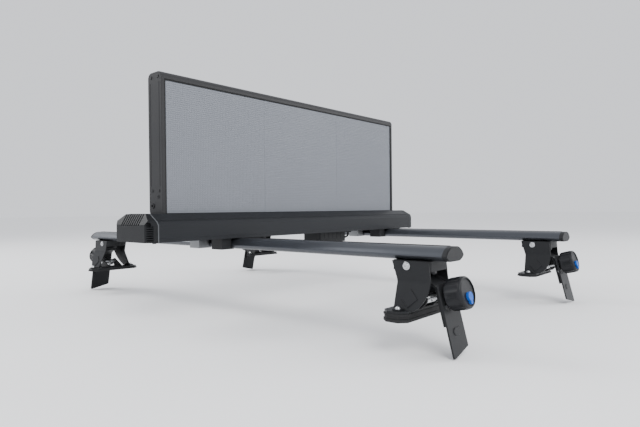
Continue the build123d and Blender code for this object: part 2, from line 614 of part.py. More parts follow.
def make_end_cap():
    """Right end cap: a flange, and a nose with finned corners and a ribbed, sloping top."""
    start = BASE_LENGTH / 2
    flange_end = start + CAP_FLANGE
    nose_end = flange_end + CAP_NOSE
    half = BASE_WIDTH / 2
    cap = along_x(base_face(), start, nose_end)
    plan = polygon((start - 1, -half - 5), (flange_end, -half), (nose_end, -half + CAP_CORNER),
                   (nose_end, half - CAP_CORNER), (flange_end, half), (start - 1, half + 5))
    cap &= Pos(0, 0, -5) * extrude(plan, BASE_HEIGHT + 10)
    crown = polygon((start - 1, -1), (nose_end + 1, -1), (nose_end, CAP_NOSE_TOP), (flange_end, BASE_HEIGHT),
                    (start - 1, BASE_HEIGHT))
    cap &= along_y(crown, -half - 5, half + 5)
    for fin in range(FIN_COUNT):
        z = 4.0 + fin * FIN_PITCH
        for side in (-1, 1):
            y0, y1 = sorted((side * (half - CAP_CORNER + 3.0), side * (half + 1.0)))
            cap -= block(flange_end + 0.5, nose_end + 1, y0, y1, z, z + FIN_GAP)
    slope = degrees(atan2(BASE_HEIGHT - CAP_NOSE_TOP, CAP_NOSE))
    rib_count = int((BASE_WIDTH / 2 - BEVEL_RUN - SLOPE_RUN) / RIB_PITCH)
    for rib in range(-rib_count, rib_count + 1):
        groove = Box(60, RIB_PITCH / 2, 4.0)
        middle = Pos(flange_end + CAP_NOSE / 2, rib * RIB_PITCH, (BASE_HEIGHT + CAP_NOSE_TOP) / 2)
        cap -= middle * Rot(0, slope, 0) * groove
    hollow = along_x(base_face(-5.0), start - 1, start + CAP_FLANGE - 3.0)
    cap -= hollow
    for y, z in cap_screw_places():
        cap -= rod((start + 5.0, y, z), (nose_end + 1, y, z), 5.0)
        cap -= rod((start - 1, y, z), (nose_end, y, z), CAP_SCREW_RADIUS + LOOSE)
        cap += rod((start + 1.0, y, z), (start + 5.0, y, z), 6.0) - rod(
            (start, y, z), (start + 6.0, y, z), CAP_SCREW_RADIUS + LOOSE)
    for side in (-1, 1):
        y = side * (half - 7.0)
        cap += rod((start + 4.8, y, -2.0), (start + 4.8, y, 1.0), 4.5)
    return cap


def cap_screw_places():
    side = BASE_WIDTH / 2 - 10.0
    return [(-side, BASE_FRONT + 2.0), (side, BASE_FRONT + 2.0)]


def make_cap_screws():
    start = BASE_LENGTH / 2
    pieces = []
    for y, z in cap_screw_places():
        screw = rod((start - GASKET_THICK - 8.0, y, z), (start + 5.0, y, z), CAP_SCREW_RADIUS)
        screw += rod((start + 5.0, y, z), (start + 8.0, y, z), 4.4)
        pieces.append(screw)
    return pieces


def make_hinge_lugs():
    """One lug at each end of the trough, standing inside a notch of the panel."""
    floor = BASE_HEIGHT - TROUGH_DEPTH
    outer = PANEL_LENGTH / 2 - LUG_INSET
    web = polygon((HINGE_Y - LUG_RADIUS, floor), (HINGE_Y - LUG_RADIUS, HINGE_Z),
                  (HINGE_Y + LUG_RADIUS, HINGE_Z), (HINGE_Y + LUG_RADIUS, floor))
    pieces = []
    for side in (-1, 1):
        x0, x1 = sorted((side * outer, side * (outer - LUG_THICK)))
        lug = along_x(web, x0, x1) + rod((x0, HINGE_Y, HINGE_Z), (x1, HINGE_Y, HINGE_Z), LUG_RADIUS)
        lug -= rod((x0 - 1, HINGE_Y, HINGE_Z), (x1 + 1, HINGE_Y, HINGE_Z), HINGE_RADIUS + SLIP)
        pieces.append(on_sign(lug))
    return pieces


def make_buffers():
    """Rubber stops: low ones under the upright panel's front edge, high ones for the folded panel."""
    floor = BASE_HEIGHT - TROUGH_DEPTH
    pieces = []
    for x in (-360.0, 0.0, 360.0):
        start = -PANEL_DEPTH / 2 + 3.5
        front = block(x - 30, x + 30, start, start + 10.0, floor, floor + PANEL_GAP)
        start = TROUGH_BACK + 1.0
        rear = block(x - 30, x + 30, start, start + 8.0, BASE_HEIGHT, BASE_HEIGHT + BUFFER_HEIGHT)
        pieces += [on_sign(front), on_sign(rear)]
    return pieces


def make_electronics():
    """Power supply and controller on the housing's floor."""
    supply = block(-420, -205, -50, 49, BASE_WALL, BASE_WALL + 30)
    supply = fillet(supply.edges().filter_by(Axis.Z), 2.0)
    controller = block(280, 440, -45, 45, BASE_WALL, BASE_WALL + 25)
    controller = fillet(controller.edges().filter_by(Axis.Z), 2.0)
    return on_sign(supply), on_sign(controller)


def make_junction_box():
    box = block(BOX_START, BOX_START + BOX_LENGTH, SIGN_Y - BOX_WIDTH / 2, SIGN_Y + BOX_WIDTH / 2,
                BAR_TOP - BOX_HEIGHT, BAR_TOP)
    box = fillet(box.edges().filter_by(Axis.Z), 6.0)
    lid_line = BAR_TOP - BOX_HEIGHT + 8.0
    ring = block(BOX_START - 1, BOX_START + BOX_LENGTH + 1, SIGN_Y - BOX_WIDTH, SIGN_Y + BOX_WIDTH,
                 lid_line, lid_line + 1.2)
    inner = block(BOX_START + 1.2, BOX_START + BOX_LENGTH - 1.2, SIGN_Y - BOX_WIDTH / 2 + 1.2,
                  SIGN_Y + BOX_WIDTH / 2 - 1.2, lid_line, lid_line + 1.2)
    return box - (ring - inner)


def cable_route():
    """Route of the short lead from the junction box up into the housing."""
    exit_x, low = BOX_START + BOX_LENGTH + 12.0, BAR_TOP - BOX_HEIGHT + 8.0
    return [
        (exit_x, SIGN_Y, low),
        (CABLE_REACH - 22.0, SIGN_Y, low),
        (CABLE_REACH, SIGN_Y, low + 6.0),
        (CABLE_REACH, SIGN_Y, BAR_TOP - 8.0),
    ]


def arc_radii(route):
    """Bend radii: 0.45 of the shorter run over the tangent of half the turn."""
    points = [Vector(*point) for point in route]
    radii = []
    for before, here, after in zip(points, points[1:], points[2:]):
        first, second = here - before, after - here
        half_turn = radians(first.get_angle(second)) / 2
        radii.append(0.45 * min(first.length, second.length) / tan(half_turn))
    return radii


def make_cable():
    route = cable_route()
    radii = arc_radii(route)
    print("lead radii", [round(radius, 1) for radius in radii])
    path = FilletPolyline(*route, radius=radii)
    start = Plane(origin=path @ 0, z_dir=path % 0)
    cable = sweep(start * Circle(CABLE_RADIUS), path=path)
    print("lead length", round(path.length, 1), "volume ratio",
          round(cable.volume / (path.length * Circle(CABLE_RADIUS).area), 4))
    return cable


def make_glands():
    """Cable glands: one on the junction box, one in the housing's floor."""
    route = cable_route()
    x, y, z = route[0]
    side = rod((x - 12.0, y, z), (x, y, z), 6.0) + rod((x - 12.0, y, z), (x - 6.0, y, z), 7.5)
    top_x = route[-1][0]
    up = rod((top_x, y, BAR_TOP - 8.0), (top_x, y, BAR_TOP + BASE_WALL + 4.0), 8.0)
    up += rod((top_x, y, BAR_TOP - 4.0), (top_x, y, BAR_TOP), 11.0)
    return [side, up]


# ---------------------------------------------------------------- sign clamps
def make_clamp_leg():
    """Leg beside the bar's +X edge, hooked under it, and bolted up into the housing."""
    half = BAR_WIDTH / 2
    lip = polygon(
        (half + GAP, BAR_TOP), (CLAMP_REACH, BAR_TOP), (CLAMP_REACH, BAR_BOTTOM),
        (half - 9.0, BAR_BOTTOM), (half + GAP, BAR_BOTTOM + BAR_EDGE_HEIGHT - 4.5),
    )
    leg = along_y(lip, -CLAMP_WIDTH / 2, CLAMP_WIDTH / 2)
    leg -= along_y(bar_profile(-LOOSE), -CLAMP_WIDTH, CLAMP_WIDTH)
    middle = (half + CLAMP_REACH) / 2
    leg -= rod((middle, 0, BAR_BOTTOM - 1), (middle, 0, BAR_TOP + 1), CLAMP_BOLT_RADIUS + LOOSE)
    return leg - rod((middle, 0, BAR_BOTTOM - 1), (middle, 0, BAR_BOTTOM + 6), 8.0)


def make_clamp_bolt_m8():
    middle = (BAR_WIDTH / 2 + CLAMP_REACH) / 2
    bolt = rod((middle, 0, BAR_BOTTOM + 6), (middle, 0, BAR_TOP), CLAMP_BOLT_RADIUS)
    return bolt + Pos(middle, 0, BAR_BOTTOM + 0.6) * extrude(RegularPolygon(7.0, 6), 5.4)


def clamp_pieces():
    leg, bolt = make_clamp_leg(), make_clamp_bolt_m8()
    rows = {-1: [], 1: []}
    bolts = []
    for bar_x in (-BAR_SPACING / 2, BAR_SPACING / 2):
        for row in rows:
            place = Pos(bar_x, SIGN_Y + row * CLAMP_PITCH / 2, 0)
            for turn in (0, 180):
                rows[row].append(place * Rot(0, 0, turn) * leg)
                bolts.append(place * Rot(0, 0, turn) * bolt)
    return rows[-1], rows[1], bolts


# ---------------------------------------------------------------- panel
def panel_outline(inset=0.0):
    """The panel's end view as (Y, Z) above its bottom edge, with its four corner rounds."""
    front, back = -PANEL_DEPTH / 2 + inset, PANEL_DEPTH / 2 - inset
    low, high = inset, PANEL_HEIGHT - inset
    face = Pos((front + back) / 2, (low + high) / 2) * Rectangle(back - front, high - low)
    corners = face.vertices()
    for corner, radius in (
        ((front, low), PANEL_ROUND_FRONT), ((back, low), PANEL_ROUND_BACK),
        ((front, high), PANEL_ROUND_TOP), ((back, high), PANEL_ROUND_TOP),
    ):
        pick = corners.sort_by_distance((corner[0], corner[1], 0))[0]
        radius = max(radius - inset, 0.8)
        face = fillet(face.vertices().sort_by_distance(pick)[0], radius)
    return face


def on_panel(shape):
    """Places a shape drawn with Z from the panel's bottom edge."""
    return on_sign(Pos(0, 0, PANEL_BOTTOM) * shape)


def notch():
    """The two openings in the panel's lower back edge that clear the hinge lugs."""
    outer = PANEL_LENGTH / 2 - LUG_INSET + 1.0
    inner = outer - LUG_THICK - 2.0
    y0 = HINGE_Y - LUG_RADIUS - 1.5
    top = HINGE_RISE + LUG_RADIUS + 1.5
    return (block(inner, outer, y0, PANEL_DEPTH, -5, top)
            + block(-outer, -inner, y0, PANEL_DEPTH, -5, top))


def hinge_bore(radius):
    half = PANEL_LENGTH / 2 + 1
    y = HINGE_Y
    return rod((-half, y, HINGE_RISE), (half, y, HINGE_RISE), radius)


def make_panel_frame():
    half = PANEL_LENGTH / 2 - END_PLATE_THICK
    frame = along_x(panel_outline(), -half, half)
    wall = PANEL_WALL
    inside = along_x(panel_outline(wall), -half + wall, half - wall)
    inside &= block(-half, half, -PANEL_DEPTH / 2 + LIP_THICK, PANEL_DEPTH, 0, PANEL_HEIGHT)
    frame -= inside
    frame -= block(-WINDOW_LENGTH / 2, WINDOW_LENGTH / 2, -PANEL_DEPTH, -PANEL_DEPTH / 2 + LIP_THICK + 1,
                   WINDOW_BOTTOM, PANEL_HEIGHT - WINDOW_TOP)
    frame -= back_opening(0.0)
    inner = PANEL_LENGTH / 2 - LUG_INSET - LUG_THICK - 1.0
    for side in (-1, 1):
        x0, x1 = sorted((side * inner, side * (inner - 9.0)))
        frame += block(x0, x1, HINGE_Y - 10, PANEL_DEPTH / 2 - wall - 3.0, wall, HINGE_RISE + 14)
    frame -= notch()
    return on_panel(frame - hinge_bore(HINGE_RADIUS + SLIP))


def back_opening(shrink):
    """The opening that the back cover closes, set in from the frame's edge."""
    half = PANEL_LENGTH / 2 - 44.0 - shrink
    return block(-half, half, PANEL_DEPTH / 2 - 6.0, PANEL_DEPTH, 26.0 + shrink, PANEL_HEIGHT - 22.0 - shrink)


def make_back_cover():
    """Sheet cover with a turned flange inside, flush with the frame's back."""
    cover = back_opening(LOOSE) & block(-PANEL_LENGTH, PANEL_LENGTH, PANEL_DEPTH / 2 - 2.0, PANEL_DEPTH / 2,
                                        0, PANEL_HEIGHT)
    half = PANEL_LENGTH / 2 - 44.0 - 12.0
    for rib in range(-3, 4):
        x = rib * half / 4
        cover += block(x - 6, x + 6, PANEL_DEPTH / 2 - 4.0, PANEL_DEPTH / 2 - 2.0, 40.0, PANEL_HEIGHT - 36.0)
    return on_panel(cover)


def make_end_plates():
    """Cast plates that close the panel's two ends."""
    plate = along_x(panel_outline(), PANEL_LENGTH / 2 - END_PLATE_THICK, PANEL_LENGTH / 2)
    outer = plate.faces().sort_by(Axis.X)[-1]
    plate = chamfer(outer.edges(), 1.0)
    plate -= hinge_bore(HINGE_RADIUS + SLIP)
    return [on_panel(plate), on_panel(mirror(plate, Plane.YZ))]


def make_modules():
    """LED modules in a grid behind the window."""
    pieces = []
    front = -PANEL_DEPTH / 2 + LIP_THICK + 0.2
    first_x = -MODULE_COLUMNS * MODULE_LENGTH / 2
    first_z = PANEL_WALL + 0.1
    for column in range(MODULE_COLUMNS):
        for row in range(MODULE_ROWS):
            x, z = first_x + column * MODULE_LENGTH, first_z + row * MODULE_HEIGHT
            board = block(x + 0.2, x + MODULE_LENGTH - 0.2, front, front + MODULE_DEPTH,
                          z + 0.2, z + MODULE_HEIGHT - 0.2)
            pieces.append(on_panel(board))
    return pieces


def make_panel_screws():
    """Countersunk screws at the corners of each end plate."""
    pieces = []
    for side in (-1, 1):
        for y in (-14.0, 14.0):
            for z in (60.0, PANEL_HEIGHT - 12.0):
                x = side * PANEL_LENGTH / 2
                pieces.append(on_panel(rod((x, y, z), (x + side * 1.2, y, z), 3.6)))
    return pieces


def make_hinge_pins():
    """Shoulder screws on the fold axis, one from each end of the panel."""
    outer = PANEL_LENGTH / 2
    inner = outer - LUG_INSET - LUG_THICK - 1.0 - 7.0
    pieces = []
    for side in (-1, 1):
        pin = rod((side * inner, HINGE_Y, HINGE_RISE), (side * outer, HINGE_Y, HINGE_RISE), HINGE_RADIUS)
        head = rod((side * outer, HINGE_Y, HINGE_RISE), (side * (outer + 2.0), HINGE_Y, HINGE_RISE), 6.5)
        socket = Pos(side * (outer + 2.0), HINGE_Y, HINGE_RISE) * Rot(0, 90, 0) * Cylinder(3.4, 6.0)
        pieces.append(on_panel(pin + head - socket))
    return pieces


# ---------------------------------------------------------------- nodes
os.makedirs("parts", exist_ok=True)

bars, bar_caps = bar_pieces()
save("cross_bars", *bars)
save("bar_end_caps", *bar_caps)

side_plate = make_side_plate()
save("side_plates", *at_all_feet(side_plate), *at_all_feet(mirror(side_plate, Plane.YZ)))
save("saddles", *at_all_feet(make_saddle()))
save("t_bolts", *[at_foot(foot, piece) for foot in FEET for piece in make_t_bolts()])
save("foot_screws", *[at_foot(foot, piece) for foot in FEET for piece in make_foot_screws()])
save("base_plates", *at_all_feet(make_base_plate()))
packers = [make_pad(0, PACKER_THICK, 0.3), make_pad(-PACKER_THICK, PACKER_THICK, PAD_EDGE)]
save("roof_pads", *at_all_feet(make_pad(PAD_THICK, PAD_THICK, PAD_EDGE)),
     *[at_foot("left_front", packer) for packer in packers])
save("dome_bolts", *[at_foot(foot, piece) for foot in FEET for piece in make_dome_bolts()])
save("trunnion_brackets", *at_all_feet(make_trunnion_bracket()))
save("pivot_pins", *at_all_feet(make_pivot_pin()))

for foot, (bar_x, side) in FEET.items():
    outer_side = 1 if bar_x * side > 0 else -1
    save(f"clamp_strap_{foot}", at_foot(foot, make_strap()))
    save(f"hook_plate_{foot}", at_foot(foot, make_hook(HOOK_SKEW * outer_side)))
    save(f"hook_rivets_{foot}", *[at_foot(foot, rivet) for rivet in make_rivets()])
    save(f"knob_{foot}", at_foot(foot, make_knob()))
    save(f"clamp_bolt_{foot}", at_foot(foot, make_clamp_bolt()))
    save(f"lock_cover_{foot}", at_foot(foot, make_lock_cover()))
    save(f"trunnion_nut_{foot}", at_foot(foot, make_trunnion_nut()))

save("base_housing", make_base_housing())
end_cap, gasket, cap_screws = make_end_cap(), make_gasket(), make_cap_screws()
save("end_cap_right", on_sign(end_cap))
save("end_cap_left", on_sign(mirror(end_cap, Plane.YZ)))
save("end_gaskets", on_sign(gasket), on_sign(mirror(gasket, Plane.YZ)))
save("end_cap_screws", *[on_sign(screw) for screw in cap_screws],
     *[on_sign(mirror(screw, Plane.YZ)) for screw in cap_screws])
save("hinge_lugs", *make_hinge_lugs())
save("buffers", *make_buffers())
power_supply, controller = make_electronics()
save("power_supply", power_supply)
save("controller", controller)
save("junction_box", make_junction_box())
save("box_lead", make_cable())
save("cable_glands", *make_glands())

front_legs, rear_legs, leg_bolts = clamp_pieces()
save("sign_clamps_front", *front_legs)
save("sign_clamps_rear", *rear_legs)
save("sign_clamp_bolts", *leg_bolts)

save("panel_frame", make_panel_frame())
save("panel_end_plates", *make_end_plates())
save("led_modules", *make_modules())
save("back_cover", make_back_cover())
save("panel_screws", *make_panel_screws())
save("hinge_pins", *make_hinge_pins())
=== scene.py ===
import bmesh
import bpy
import json
from math import cos, pi, radians, sin
from mathutils import Matrix, Vector


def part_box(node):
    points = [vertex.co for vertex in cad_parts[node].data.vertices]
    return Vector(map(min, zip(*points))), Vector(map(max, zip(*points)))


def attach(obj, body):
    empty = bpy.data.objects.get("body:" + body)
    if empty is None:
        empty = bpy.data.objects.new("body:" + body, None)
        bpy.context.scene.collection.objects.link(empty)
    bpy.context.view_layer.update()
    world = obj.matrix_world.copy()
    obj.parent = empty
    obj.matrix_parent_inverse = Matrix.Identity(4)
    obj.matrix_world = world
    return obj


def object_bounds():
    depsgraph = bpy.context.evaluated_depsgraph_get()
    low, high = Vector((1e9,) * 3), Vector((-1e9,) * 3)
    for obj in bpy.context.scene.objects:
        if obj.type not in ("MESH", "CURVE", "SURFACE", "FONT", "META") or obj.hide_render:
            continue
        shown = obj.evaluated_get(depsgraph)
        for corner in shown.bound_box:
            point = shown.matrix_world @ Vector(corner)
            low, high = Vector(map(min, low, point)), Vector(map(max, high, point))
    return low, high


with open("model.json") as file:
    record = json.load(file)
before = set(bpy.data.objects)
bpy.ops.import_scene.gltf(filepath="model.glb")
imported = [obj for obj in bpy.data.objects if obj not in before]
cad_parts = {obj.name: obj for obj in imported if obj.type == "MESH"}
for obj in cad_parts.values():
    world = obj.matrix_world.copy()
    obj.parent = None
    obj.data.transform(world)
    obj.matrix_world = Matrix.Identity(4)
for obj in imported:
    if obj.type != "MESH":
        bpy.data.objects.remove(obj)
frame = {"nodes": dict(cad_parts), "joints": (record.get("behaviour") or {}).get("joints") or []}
cad_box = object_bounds()
MM = 0.001
FEET = ("left_front", "left_rear", "right_front", "right_rear")


# ------------------------------------------------------------------ shader helpers
class Value:
    """A number socket that can be used in ordinary arithmetic."""

    def __init__(self, finish, socket):
        self.finish, self.socket = finish, socket

    def _maths(self, operation, first, second):
        return self.finish.add("ShaderNodeMath", {"operation": operation}, {0: first, 1: second})

    def __add__(self, other):
        return self._maths("ADD", self, other)

    def __mul__(self, other):
        return self._maths("MULTIPLY", self, other)

    __radd__ = __add__
    __rmul__ = __mul__


class Finish:
    """One material: its node tree, and the few moves that every finish here is made with."""

    def __init__(self, name, colour, roughness, metallic=0.0, specular=0.5):
        self.material = bpy.data.materials.new(name)
        self.material.use_nodes = True
        self.tree = self.material.node_tree
        self.shader = self.tree.nodes["Principled BSDF"]
        self.material.diffuse_color = (*colour, 1)
        for socket, value in (("Base Color", (*colour, 1)), ("Roughness", roughness), ("Metallic", metallic),
                              ("Specular IOR Level", specular)):
            self.shader.inputs[socket].default_value = value
        self.colour = colour
        self.place = self.add("ShaderNodeTexCoord", {}, {}, "Object")
        self.relief = None

    def add(self, kind, settings, values, output=0):
        node = self.tree.nodes.new(kind)
        for setting, value in settings.items():
            setattr(node, setting, value)
        for key, value in values.items():
            if isinstance(value, Value):
                self.tree.links.new(value.socket, node.inputs[key])
            else:
                node.inputs[key].default_value = value
        return Value(self, node.outputs[output])

    def stretched(self, scale):
        return self.add("ShaderNodeMapping", {}, {"Vector": self.place, "Scale": scale})

    def noise(self, scale, detail=3.0, stretch=None):
        where = self.stretched(stretch) if stretch else self.place
        return self.add("ShaderNodeTexNoise", {}, {"Vector": where, "Scale": scale, "Detail": detail}, "Fac")

    def cells(self, scale):
        return self.add("ShaderNodeTexVoronoi", {}, {"Vector": self.place, "Scale": scale}, "Distance")

    def tone(self, mask, other):
        """Base colour between this finish's own and another, by the mask."""
        mixed = self.add("ShaderNodeMix", {"data_type": "RGBA"},
                         {0: mask, 6: (*self.colour, 1), 7: (*other, 1)}, 2)
        self.tree.links.new(mixed.socket, self.shader.inputs["Base Color"])
        return self

    def shine(self, value):
        self.tree.links.new(value.socket, self.shader.inputs["Roughness"])
        return self

    def bump(self, height, distance, strength=0.5):
        values = {"Height": height, "Distance": distance, "Strength": strength}
        if self.relief:
            values["Normal"] = self.relief
        self.relief = self.add("ShaderNodeBump", {}, values)
        self.tree.links.new(self.relief.socket, self.shader.inputs["Normal"])
        return self


def powder_coat(name, colour):
    """Satin powder coat: orange peel, a finer speckle and a little dust."""
    finish = Finish(name, colour, 0.42, specular=0.16)
    peel, speckle, dust = finish.noise(420.0), finish.cells(1500.0), finish.noise(9.0, 5.0)
    finish.tone(dust * 0.55 + speckle * 0.2, tuple(c * 1.7 + 0.002 for c in colour))
    finish.shine(dust * 0.22 + 0.3)
    return finish.bump(peel, 0.0003, 0.35).bump(speckle, 0.0001, 0.25)


def extrusion(name, colour, along, metallic=0.6, roughness=0.3, specular=0.5):
    """Anodised extrusion, with fine die lines along its length."""
    finish = Finish(name, colour, roughness, metallic=metallic, specular=specular)
    stretch = tuple(0.01 if axis == along else 1.0 for axis in "xyz")
    lines, cloud = finish.noise(900.0, 2.0, stretch), finish.noise(6.0, 4.0)
    finish.tone(lines * 0.35 + cloud * 0.4, tuple(c * 1.7 + 0.005 for c in colour))
    finish.shine(lines * 0.12 + cloud * 0.12 + (roughness - 0.1))
    return finish.bump(lines, 0.0002, 0.3)


def moulded(name, colour, roughness=0.5):
    """Moulded plastic with a spark-eroded grain."""
    finish = Finish(name, colour, roughness, specular=0.2)
    grain, worn = finish.cells(1100.0), finish.noise(14.0, 5.0)
    finish.tone(worn * 0.6, tuple(c * 1.6 + 0.002 for c in colour))
    finish.shine(worn * 0.2 + (roughness - 0.1))
    return finish.bump(grain, 0.00025, 0.45)


def rubber(name, colour):
    finish = Finish(name, colour, 0.8, specular=0.3)
    bloom, grain = finish.noise(30.0, 6.0), finish.noise(800.0)
    finish.tone(bloom * 0.5, tuple(c * 2.2 + 0.01 for c in colour))
    finish.shine(bloom * 0.2 + 0.65)
    return finish.bump(grain, 0.0002, 0.4)


def plated(name, colour, roughness=0.22):
    """Bright plating over turned or pressed steel."""
    finish = Finish(name, colour, roughness, metallic=1.0)
    stain, scratch = finish.noise(60.0, 5.0), finish.noise(700.0, 2.0, (1.0, 0.08, 1.0))
    finish.tone(stain * 0.5, tuple(c * 0.72 for c in colour))
    finish.shine(stain * 0.2 + scratch * 0.12 + (roughness - 0.08))
    return finish.bump(scratch, 0.0001, 0.25)


def lens_face():
    """Grey face of the LED modules: a flat mask between the lamps, a shade darker in places."""
    finish = Finish("module_mask", (0.215, 0.228, 0.255), 0.6, specular=0.3)
    patch, grain = finish.noise(3.0, 3.0), finish.noise(1500.0)
    finish.tone(patch * 0.5, (0.18, 0.192, 0.215))
    finish.shine(patch * 0.15 + 0.46)
    return finish.bump(grain, 0.00015, 0.3)


def lamp_lens():
    finish = Finish("lamp_lens", (0.23, 0.243, 0.272), 0.35, specular=0.35)
    tint = finish.noise(90.0)
    return finish.tone(tint, (0.19, 0.203, 0.228)).shine(tint * 0.15 + 0.22)


FINISHES = {
    "coat": powder_coat("black_powder_coat", (0.012, 0.0125, 0.0135)),
    "panel": powder_coat("panel_frame_coat", (0.022, 0.022, 0.023)),
    "bar": extrusion("black_anodised_bar", (0.05, 0.054, 0.062), "y", 0.75, 0.34),
    "housing": extrusion("black_anodised_housing", (0.013, 0.014, 0.016), "x", 0.25, 0.42, 0.2),
    # Light grey metal for the rear sign clamps only, lighter than the black front clamps.
    "light_grey": extrusion("bare_aluminium", (0.17, 0.175, 0.18), "y", 0.8, 0.45),
    "plastic": moulded("black_moulding", (0.013, 0.0135, 0.0145)),
    "cap": moulded("end_cap_moulding", (0.006, 0.0065, 0.0075), 0.45),
    "knob": moulded("knob_moulding", (0.011, 0.0115, 0.013), 0.4),
    "blue": moulded("blue_cover", (0.01, 0.09, 0.42), 0.3),
    "rubber": rubber("black_rubber", (0.01, 0.01, 0.0105)),
    "gasket": rubber("grey_gasket", (0.06, 0.063, 0.067)),
    "zinc": plated("bright_zinc", (0.62, 0.63, 0.64)),
    "dark": plated("black_zinc", (0.05, 0.05, 0.052), 0.35),
    "sheet": plated("zinc_sheet", (0.45, 0.46, 0.47), 0.4),
    "mask": lens_face(),
    "lens": lamp_lens(),
}

NODE_FINISH = {
    "cross_bars": "bar", "bar_end_caps": "plastic", "side_plates": "coat", "saddles": "plastic",
    "t_bolts": "dark", "foot_screws": "zinc", "base_plates": "coat", "roof_pads": "rubber",
    "dome_bolts": "zinc", "trunnion_brackets": "coat", "pivot_pins": "zinc", "base_housing": "housing",
    "end_cap_left": "cap", "end_cap_right": "cap", "end_gaskets": "gasket", "end_cap_screws": "zinc",
    "hinge_lugs": "coat", "buffers": "rubber", "power_supply": "sheet", "controller": "sheet",
    "junction_box": "plastic", "box_lead": "rubber", "cable_glands": "plastic",
    "sign_clamps_front": "coat", "sign_clamps_rear": "light_grey", "sign_clamp_bolts": "zinc",
    "panel_frame": "panel", "panel_end_plates": "panel", "led_modules": "mask", "back_cover": "panel",
    "panel_screws": "dark", "hinge_pins": "dark",
}
FOOT_FINISH = {
    "clamp_strap": "coat", "hook_plate": "coat", "hook_rivets": "zinc", "knob": "knob",
    "clamp_bolt": "zinc", "lock_cover": "blue", "trunnion_nut": "zinc",
}


def dress_cad_nodes():
    chosen = dict(NODE_FINISH)
    for foot in FEET:
        chosen.update({f"{family}_{foot}": finish for family, finish in FOOT_FINISH.items()})
    for node, finish in chosen.items():
        for slot in frame["nodes"][node].material_slots:
            slot.link = "OBJECT"
            slot.material = FINISHES[finish].material


# ------------------------------------------------------------------ mesh helpers
class Shape:
    """Mesh under construction, made of closed bevelled bars, turned pieces and prisms."""

    def __init__(self):
        self.mesh = bmesh.new()

    def loft(self, rings, close_ends=True):
        """Skin through rings of points, each ring with as many points as the next."""
        made = [[self.mesh.verts.new(point) for point in ring] for ring in rings]
        count = len(made[0])
        for ring, following in zip(made, made[1:]):
            for i in range(count):
                j = (i + 1) % count
                self.mesh.faces.new((ring[i], ring[j], following[j], following[i]))
        if close_ends:
            self.mesh.faces.new(made[0][::-1])
            self.mesh.faces.new(made[-1])
        return made

    def turned(self, centre, axis, profile, sides=24):
        """Solid of revolution; the profile is (distance along the axis, radius) from end to end."""
        turn = Vector((0, 0, 1)).rotation_difference(Vector(axis)).to_matrix()
        angles = [2 * pi * i / sides for i in range(sides)]
        self.loft([
            [Vector(centre) + turn @ Vector((radius * cos(a), radius * sin(a), along)) for a in angles]
            for along, radius in profile
        ])

    def bar(self, low, high, edge):
        """Bar between two corners, with its four long edges and both ends bevelled."""
        low, high = Vector(low), Vector(high)
        size = high - low
        along = max(range(3), key=lambda axis: size[axis])
        a, b = [axis for axis in range(3) if axis != along]
        edge = min(edge, size[a] * 0.45, size[b] * 0.45)

        def ring(station, inset):
            corners = []
            for side_a, side_b, first in ((0, 0, 1), (1, 0, 0), (1, 1, 1), (0, 1, 0)):
                for cut_a in ((0, 1) if first == 0 else (1, 0)):
                    point = Vector((0, 0, 0))
                    point[along] = station
                    inset_a, inset_b = inset + edge * (1 - cut_a), inset + edge * cut_a
                    point[a] = high[a] - inset_a if side_a else low[a] + inset_a
                    point[b] = high[b] - inset_b if side_b else low[b] + inset_b
                    corners.append(point)
            return corners

        shrink = edge * 0.5
        self.loft([ring(low[along], shrink), ring(low[along] + shrink, 0),
                   ring(high[along] - shrink, 0), ring(high[along], shrink)])

    def finish(self, name, body, slot, finish, sharp=35.0):
        bmesh.ops.recalc_face_normals(self.mesh, faces=self.mesh.faces)
        data = bpy.data.meshes.new(name)
        self.mesh.to_mesh(data)
        self.mesh.free()
        data.materials.append(FINISHES[finish].material)
        data.shade_smooth()
        data.set_sharp_from_angle(angle=radians(sharp))
        piece = bpy.data.objects.new(name, data)
        bpy.context.scene.collection.objects.link(piece)
        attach(piece, body)
        return piece


def screw_head(shape, centre, axis, radius, height):
    """Pan head with a round recess, seen from the end of its axis."""
    shape.turned(centre, axis, [
        (-0.2 * height, radius), (0.55 * height, radius), (0.85 * height, radius * 0.86),
        (height, radius * 0.62), (height, radius * 0.5), (height * 0.35, radius * 0.46),
    ])


# ------------------------------------------------------------------ the panel
LED_PITCH = 5 * MM


def led_lamps():
    """Domed lamps on every module, in square rows."""
    low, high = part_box("led_modules")
    shape = Shape()
    columns = round((high.x - low.x) / LED_PITCH)
    rows = round((high.z - low.z) / LED_PITCH)
    pitch_x, pitch_z = (high.x - low.x) / columns, (high.z - low.z) / rows
    for column in range(columns):
        for row in range(rows):
            centre = (low.x + (column + 0.5) * pitch_x, low.y, low.z + (row + 0.5) * pitch_z)
            shape.turned(centre, (0, -1, 0), [(-0.1 * MM, 1.3 * MM), (0.7 * MM, 0.8 * MM)], 6)
    shape.finish("led_lamps", "panel", "led_face", "lens")


def module_louvres():
    """Low visor over each row of lamps."""
    low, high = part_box("led_modules")
    proud, sunk, half_thick, end_gap = 0.9 * MM, 0.2 * MM, 0.3 * MM, 1 * MM
    shape = Shape()
    for row in range(1, round((high.z - low.z) / LED_PITCH)):
        z = low.z + row * LED_PITCH
        shape.bar((low.x + end_gap, low.y - proud, z - half_thick),
                  (high.x - end_gap, low.y + sunk, z + half_thick), 0.15 * MM)
    shape.finish("module_louvres", "panel", "led_face", "mask")


